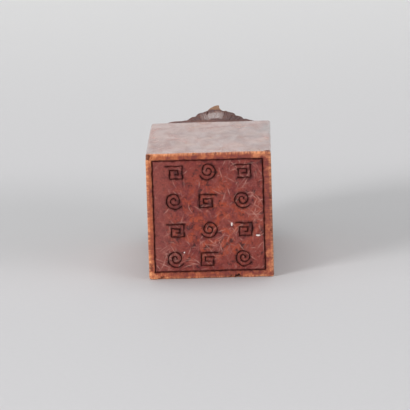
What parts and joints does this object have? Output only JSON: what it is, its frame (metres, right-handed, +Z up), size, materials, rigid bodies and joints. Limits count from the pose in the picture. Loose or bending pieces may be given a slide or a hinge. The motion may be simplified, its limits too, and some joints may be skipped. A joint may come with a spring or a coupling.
{
  "type": "seal stamp",
  "caption": "Square soapstone seal stamp lying on its side, with a framed engraved stamping face and a seated guardian lion carved as its knob.",
  "frame": {"origin": "middle of the footprint of the bounding box, on the plane that the seal lies on", "axes": "+Y along the seal from the stamping face towards the lion knob, +Z up with the seal lying down and the back of the lion on top, +X to the right when one looks at the stamping face"},
  "size_m": [0.025, 0.068, 0.0254],
  "materials": {
    "shaft_stone": "mottled red-brown soapstone, waxed and polished, with an orange-ochre rim",
    "knob_stone": "carved brown-purple soapstone, satin, paler tan at the tip of the tail",
    "mastic": "dark set resin mastic, matt",
    "ink": "dried blackish ink residue, matt"
  },
  "bodies": {
    "root": {"shaft": "shaft_stone", "mastic_bed": "mastic", "lion_knob": "knob_stone", "ink_border_line": "ink", "ink_square_fret_row_1_column_1": "ink", "ink_round_fret_row_1_column_2": "ink", "ink_square_fret_row_1_column_3": "ink", "ink_round_fret_row_2_column_1": "ink", "ink_square_fret_row_2_column_2": "ink", "ink_round_fret_row_2_column_3": "ink", "ink_square_fret_row_3_column_1": "ink", "ink_round_fret_row_3_column_2": "ink", "ink_square_fret_row_3_column_3": "ink", "ink_round_fret_row_4_column_1": "ink", "ink_square_fret_row_4_column_2": "ink", "ink_round_fret_row_4_column_3": "ink"}
  },
  "joints": []
}
